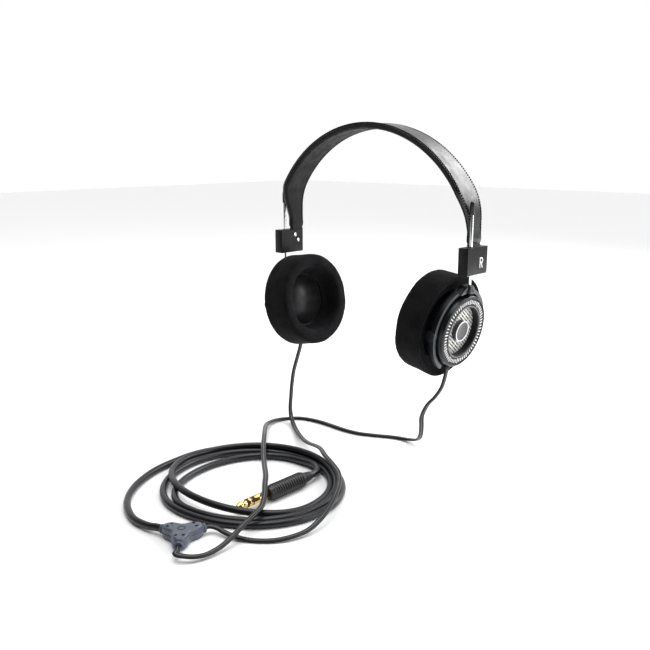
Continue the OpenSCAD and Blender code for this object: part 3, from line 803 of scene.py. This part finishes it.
def stitch_line(pick, length, slant, height, low_end, radius=0.42, high=0.3):
    """Stitches at a steady pitch beside one edge. pick(z) gives the line's y, slant is in degrees."""
    slant = math.radians(slant)
    run = []
    for x, z, nx, nz in STATIONS:
        if z > low_end:
            run.append((Vector((x, pick(z), z)), Vector((nx, 0, nz))))
    dist = distances([p for p, _ in run])
    made, k = [], 0
    for i in range(int(dist[-1] / STITCH_PITCH)):
        want = (i + 0.5) * STITCH_PITCH
        while k < len(run) - 2 and dist[k + 1] < want:
            k += 1
        t = (want - dist[k]) / (dist[k + 1] - dist[k])
        p, out = run[k][0].lerp(run[k + 1][0], t), unit(run[k][1].lerp(run[k + 1][1], t))
        ahead = unit(run[k + 1][0] - run[k][0])
        along = unit(ahead * math.cos(slant) + out.cross(ahead) * math.sin(slant))
        middle = p + out * (height - OUTER_H)
        made.append(capsule(middle, along, unit(out.cross(along)), out, length, radius, high))
    return made


rows = stitch_line(near_seam(1.7), 3.1, 60, 1.55, BLOCK_TOP + 4, 0.5, 0.62)
rows += stitch_line(far_seam(1.9), 1.4, -12, 1.58, BLOCK_TOP + 6, 0.42, 0.24)
stitches = piece("band_stitching", *merge(rows), M["thread"], "headband", sharp=60)
rows = stitch_line(near_seam(1.9), 1.3, 20, -2.52, BLOCK_TOP + 4)
rows += stitch_line(far_seam(1.9), 1.3, -20, -2.52, BLOCK_TOP + 6)
under_stitches = piece("lining_stitching", *merge(rows), M["thread"], "headband", sharp=60)


# ---------------------------------------------------------------- cups
def cup_frame(way):
    """A cup's pivot, its outward axis and its upward axis."""
    out = Vector((way * math.cos(CUP_LEAN), 0, -math.sin(CUP_LEAN)))
    high = Vector((way * math.sin(CUP_LEAN), 0, math.cos(CUP_LEAN)))
    middle = Vector((way * PIVOT.x, PIVOT.y, PIVOT.z))
    return middle, out, high


def cup_place(way):
    """A lathe's place() about the cup's outward axis."""
    middle, out, high = cup_frame(way)

    def place(w, r, t):
        return (middle + out * w + (high * math.cos(t) + ACROSS * math.sin(t)) * r) * MM
    return place


def cup_point(way, w, y, p):
    """The point w outward, y across and p up from the cup's pivot."""
    middle, out, high = cup_frame(way)
    return (middle + out * w + high * p + ACROSS * y) * MM


# Profiles about the cup's axis are (radius, distance outward from the pivot)
PAD = [(29.0, -8.9), (29.0, -8.0), (29.3, -7.5), (31.0, -7.35), (34.0, -7.35), (35.2, -7.0),
       (37.4, -5.3), (39.2, -3.7), (40.0, -3.15), (40.6, -3.5), (40.7, -4.4), (40.5, -8.0), (40.3, -14.0),
       (40.1, -20.0), (39.9, -24.6), (39.4, -26.6), (38.4, -27.9), (36.9, -28.3), (34.2, -28.4),
       (31.6, -28.25), (30.1, -27.7), (29.1, -26.5), (28.2, -24.0), (27.0, -19.5), (25.8, -16.0),
       (24.4, -13.8), (23.2, -12.9), (22.9, -11.9), (23.1, -11.05), (31.75, -11.05), (31.75, -8.95)]
SHELL_OUT = [(26.5, -8.98), (28.2, -8.98), (28.5, -8.7), (28.5, 5.6), (28.35, 6.3), (28.0, 6.95),
             (28.0, 7.15), (28.3, 7.35), (28.3, 7.9), (28.05, 8.35), (27.6, 8.7), (27.2, 8.8),
             (26.85, 8.75), (26.8, 8.6), (26.8, 7.0), (25.0, 7.0), (25.0, 5.8), (26.5, 4.3)]
RING_OUT = [(19.4, 3.42), (20.35, 3.42), (20.35, 7.05), (26.75, 7.05), (26.75, 8.35), (26.6, 8.55),
            (26.2, 8.6), (25.9, 8.45), (21.3, 8.45), (21.0, 8.6), (20.7, 8.8), (20.0, 8.85), (19.6, 8.7),
            (19.4, 8.3)]
LIP = [(19.35, 8.2), (19.9, 8.8), (20.35, 8.92), (20.8, 8.86), (20.95, 8.6), (20.4, 8.4)]
CLOTH = [(0, 2.1), (20.3, 2.1), (20.3, 2.35), (0, 2.35)]
BUTTON = [(0, 3.45), (8.1, 3.45), (8.2, 3.6), (8.2, 6.7), (8.1, 7.0), (7.8, 7.2), (7.4, 7.25),
          (7.1, 7.12), (0, 7.12)]
BUTTON_RING = [(7.35, 7.1), (8.28, 7.0), (8.32, 7.2), (8.2, 7.42), (7.95, 7.52), (7.6, 7.5), (7.4, 7.38)]


def bars(way, reach, pitch, width, w0, w1, turn):
    """Parallel bars cut to a circle, from w0 to w1 outward, turned from level by an angle in degrees."""
    c, s = math.cos(math.radians(turn)), math.sin(math.radians(turn))
    side, top = width / 2, w1 - 0.12
    outline = [(-side, w0), (side, w0), (side, top), (side - 0.14, w1), (-side + 0.14, w1), (-side, top)]
    made = []
    count = int(reach / pitch)
    for i in range(-count, count + 1):
        off = i * pitch
        half = math.sqrt(max(reach * reach - off * off, 0))
        if half < 1:
            continue
        verts = []
        for end in (-half, half):
            for a, w in outline:
                verts.append(cup_point(way, w, end * c - (off + a) * s, end * s + (off + a) * c))
        made.append((verts, tube_faces(2, len(outline))))
    return made


def tick(way, angle, r0, r1, half, w0, w1):
    """A dash from r0 to r1, half of its width each side of the angle, a little narrower on top."""
    verts = []
    for w in (w0, w1):
        for r, s in ((r0, -1), (r1, -1), (r1, 1), (r0, 1)):
            t = angle + s * half / r * (1.0 if w == w0 else 0.8)
            verts.append(cup_place(way)(w, r, t))
    return verts, [[0, 1, 2, 3], [7, 6, 5, 4], [0, 4, 5, 1], [1, 5, 6, 2], [2, 6, 7, 3], [3, 7, 4, 0]]


TICKS, LONG_EVERY, LONG_TICK, SHORT_TICK = 60, 5, (21.8, 25.7), (22.4, 25.1)
TICK_HALF, TICK_FROM, TICK_TOP = 0.46, 8.38, 8.62
MESH_R = 20.1


def pad_lumps(mesh, way):
    """Moves the pad's points in and out by noise, but hardly where it sits on the cup."""
    middle, out, _ = cup_frame(way)
    for v, normal in zip(mesh.vertices, [n.vector.copy() for n in mesh.vertex_normals]):
        p = v.co / MM
        w = (p - middle).dot(out)
        keep = min(max((-w - 7.6) / 3.0, 0.15), 1.0) if w > -11.2 else 1.0
        lump = mnoise.noise(p * 0.07) * 0.5 + mnoise.noise(p * 0.3) * 0.16 + mnoise.noise(p * 1.1) * 0.09
        v.co += normal * (lump * keep * MM)


def sleeve_profile():
    """The strain relief below a cup: a flange, two collars and a lip, as (radius, depth)."""
    profile = [(0, 25.9), (3.3, 25.9), (3.3, 28.2), (3.2, 28.7), (2.7, 29.0)]
    for top in (29.3, 30.9):
        profile += [(2.35, top), (2.5, top + 0.25), (2.5, top + 0.85), (2.35, top + 1.1),
                    (2.1, top + 1.25), (2.1, top + 1.45)]
    return profile + [(2.35, 32.5), (2.4, 32.8), (2.35, 33.3), (2.1, 33.5), (0, 33.5)]


for side, way in SIDES:
    place = cup_place(way)
    middle, out, high = cup_frame(way)
    axis = (tuple(middle), tuple(out))
    body = f"cup_{side}"
    anodised = turned_metal(f"cup_anodised_{side}", (0.008, 0.010, 0.013), 0.27, axis, 2.6, 0.005, 0.3)
    silver = turned_metal(f"ring_silver_{side}", (0.82, 0.82, 0.81), 0.34, axis, 3.5, 0.006, 0.55)
    dark = turned_metal(f"ring_dark_{side}", (0.006, 0.006, 0.007), 0.42, axis, 3.0, 0.008, 0.0)
    dark.node_tree.nodes["Principled BSDF"].inputs["Specular IOR Level"].default_value = 0.2
    grey = turned_metal(f"lip_grey_{side}", (0.16, 0.165, 0.17), 0.36, axis, 3.0, 0.008, 0.7)
    face = turned_metal(f"button_face_{side}", (0.075, 0.077, 0.082), 0.34, axis, 4.5, 0.008, 0.6)

    shell = piece(f"cup_housing_{side}", *lathe(SHELL_OUT, place, 160), anodised, body, sharp=35)
    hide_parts(f"cup_shell_{side}")

    ring = piece(f"grille_bezel_{side}", *lathe(RING_OUT, place, 160), dark, body, sharp=35)
    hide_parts(f"grille_ring_{side}")
    lip = piece(f"bezel_lip_{side}", *lathe(LIP, place, 160), grey, body, sharp=50)
    marks = []
    for i in range(TICKS):
        reach = SHORT_TICK if i % LONG_EVERY else LONG_TICK
        angle = 2 * math.pi * (i + 0.5) / TICKS
        marks.append(tick(way, angle, *reach, TICK_HALF, TICK_FROM, TICK_TOP))
    scale = piece(f"bezel_marks_{side}", *merge(marks), silver, body, smooth=False)

    strips = bars(way, MESH_R, 2.3, 1.35, 2.75, 3.4, -36 * way)
    strips += bars(way, MESH_R, 6.9, 0.6, 2.6, 3.15, 54 * way)
    grille = piece(f"grille_bars_{side}", *merge(strips), M["mesh"], body, sharp=30)
    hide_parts(f"grille_mesh_{side}")
    cloth = piece(f"grille_cloth_{side}", *lathe(CLOTH, place, 96), M["black"], body)
    button = piece(f"button_{side}", *lathe(BUTTON, place, 96), face, body, sharp=40)
    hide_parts(f"centre_button_{side}")
    rim = piece(f"button_rim_{side}", *lathe(BUTTON_RING, place, 96), silver, body, sharp=50)

    verts, faces = lathe(PAD, place, 144)
    pad = piece(f"foam_pad_{side}", verts, faces, M["foam"], None, sharp=60)
    rounder = pad.modifiers.new("rounder", "SUBSURF")
    rounder.levels = rounder.render_levels = 1
    depsgraph = bpy.context.evaluated_depsgraph_get()
    mesh = bpy.data.meshes.new_from_object(pad.evaluated_get(depsgraph))
    pad.modifiers.clear()
    pad.data = mesh
    pad_lumps(mesh, way)
    mesh.polygons.foreach_set("use_smooth", [True] * len(mesh.polygons))
    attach(pad, body)
    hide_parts(f"ear_cushion_{side}")

    def down(w, r, t):
        return (middle + out * r * math.cos(t) + ACROSS * r * math.sin(t) - high * w) * MM
    relief = piece(f"relief_sleeve_{side}", *lathe(sleeve_profile(), down, 40), M["rubber"], body, sharp=40)
    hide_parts(f"strain_relief_{side}")


# ---------------------------------------------------------------- CAD pieces that stay
def yoke_paint(side, way):
    """Satin grey on the face that looks outward; every other face is painted near black, which is painted
    shade for the dark the flanks show.
    """
    mat = plain(f"yoke_finish_{side}", (0.060, 0.062, 0.066), 0.42, 0.5, grain=1.8, depth=0.014, vary=0.15,
                Specular_IOR_Level=0.3)
    tree = mat.node_tree
    shader = tree.nodes["Principled BSDF"]
    face = node(tree, "ShaderNodeVectorMath", operation="DOT_PRODUCT")
    tree.links.new(node(tree, "ShaderNodeTexCoord").outputs["Normal"], face.inputs[0])
    face.inputs[1].default_value = cup_frame(way)[1]
    speck = noise_of(tree, object_space(tree), 0.9, 4)
    grey = ramp(tree, speck, [(0.3, (0.062, 0.065, 0.067)), (0.7, (0.105, 0.110, 0.112))])
    shade_mix = node(tree, "ShaderNodeMix", data_type="RGBA")
    tree.links.new(spread(tree, face.outputs["Value"], 0, 1, 0.55, 0.85), shade_mix.inputs[0])
    # painted shade: near black on every face that does not look outward
    shade_mix.inputs[6].default_value = (0.008, 0.009, 0.011, 1)
    tree.links.new(grey, shade_mix.inputs[7])
    tree.links.new(shade_mix.outputs[2], shader.inputs["Base Color"])
    return mat


def perforated(name, color):
    """A thin plate full of small round holes, each painted near black in its middle, which is painted shade
    for the cavity behind it.
    """
    mat = material(name, color, 0.45, 0.4)
    tree = mat.node_tree
    holes = cells_of(tree, object_space(tree), 0.62, randomness=0.0)
    # painted shade: near black in the middle of each hole, the plate's colour around it
    edge = ramp(tree, holes, [(0.30, (0.001, 0.001, 0.001)), (0.36, color)])
    tree.links.new(edge, tree.nodes["Principled BSDF"].inputs["Base Color"])
    bump(mat, [(edge, 0.2, 0.8)])
    return mat


M["grid"] = perforated("driver_perforated", (0.020, 0.020, 0.022))
for side, way in SIDES:
    M[f"yoke_{side}"] = yoke_paint(side, way)


def finish_node(name, mat, width=0.0):
    """A CAD node keeps its shape: its faces are welded and its edges broken, and it gets a material."""
    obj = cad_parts[name]
    obj.data.materials.clear()
    obj.data.materials.append(mat)
    obj.data.polygons.foreach_set("use_smooth", [True] * len(obj.data.polygons))
    weld = obj.modifiers.new("weld", "WELD")
    weld.merge_threshold = 1e-6
    if width:
        bevel = obj.modifiers.new("bevel", "BEVEL")
        bevel.width, bevel.segments = width * MM, 3
        bevel.limit_method, bevel.angle_limit = "ANGLE", math.radians(40)
        bevel.harden_normals = True
        bevel.use_clamp_overlap = True


# Each kind of CAD node: its material and how wide its broken edges are
NODE_LOOK = {
    "rod_block": ("block", 0.5), "side_mark": ("white", 0), "rod_bush": ("natural", 0),
    "bush_retainer": ("black", 0), "band_rivets": ("steel", 0), "rod": ("steel", 0.15),
    "rod_cap": ("cap", 0.15), "yoke": ("yoke_{0}", 0.4), "rod_screw": ("screw", 0),
    "pivot_pins": ("screw", 0.2), "baffle": ("black", 0.2), "driver_frame": ("black", 0),
    "driver_magnet": ("magnet", 0), "voice_coil": ("copper", 0), "diaphragm": ("film", 0),
    "driver_grid": ("grid", 0)}
for name, (finish, width) in NODE_LOOK.items():
    for side, _ in SIDES:
        finish_node(f"{name}_{side}", M[finish.format(side)], width)
finish_node("spring_strip", M["strip"])
for name in ("plug_sleeve", "plug_ring", "plug_tip"):
    finish_node(name, M["gold"])
finish_node("plug_insulators", M["black"])


# ---------------------------------------------------------------- studio
FLOOR_HALF = 4
FLOOR_Z = TABLE_Z * MM - 0.0002
corners = [(x * FLOOR_HALF, y * FLOOR_HALF, FLOOR_Z) for x, y in ((-1, -1), (1, -1), (1, 1), (-1, 1))]
floor_mesh = bpy.data.meshes.new("floor")
floor_mesh.from_pydata(corners, [], [(0, 1, 2, 3)])
floor = bpy.data.objects.new("floor", floor_mesh)
bpy.context.scene.collection.objects.link(floor)
floor_mat = material("floor_white", (0.93, 0.93, 0.93), 0.6)
floor_mesh.materials.append(floor_mat)

# The sky is white behind the object, as the camera sees it, and dim in front, so that blacks stay black
world = bpy.data.worlds.new("studio")
bpy.context.scene.world = world
world.use_nodes = True
tree = world.node_tree
facing = node(tree, "ShaderNodeVectorMath", operation="DOT_PRODUCT")
tree.links.new(node(tree, "ShaderNodeTexCoord").outputs["Generated"], facing.inputs[0])
facing.inputs[1].default_value = (-0.674, 0.739, 0)
behind = spread(tree, facing.outputs["Value"], 0, 1, 0.25, 0.76)
shade = ramp(tree, behind, [(0, (0.10, 0.10, 0.105)), (1, (1, 1, 1))])
tree.links.new(shade, tree.nodes["Background"].inputs["Color"])
tree.nodes["Background"].inputs["Strength"].default_value = 1.0


def lamp(name, place, aim, size, power):
    """A soft rectangular lamp in metres and watts, turned to its aim."""
    data = bpy.data.lights.new(name, "AREA")
    data.shape, data.size, data.size_y, data.energy = "RECTANGLE", size[0], size[1], power
    obj = bpy.data.objects.new(name, data)
    obj.location = place
    obj.rotation_mode = "QUATERNION"
    obj.rotation_quaternion = (Vector(aim) - Vector(place)).to_track_quat("-Z", "Y")
    bpy.context.scene.collection.objects.link(obj)


lamp("back", (0.36, 0.88, 0.50), (0.06, 0.0, -0.05), (1.0, 0.7), 13.5)
lamp("top", (-0.1, 0.1, 1.1), (0, -0.05, -0.2), (1.0, 1.0), 3)
lamp("side", (1.0, 0.22, 0.02), (0.09, 0, -0.1), (0.45, 0.8), 6)
sun_data = bpy.data.lights.new("sky", "SUN")
sun_data.energy, sun_data.angle = 2.15, math.radians(60)
sun = bpy.data.objects.new("sky", sun_data)
bpy.context.scene.collection.objects.link(sun)
bpy.context.scene.view_settings.view_transform = "Standard"
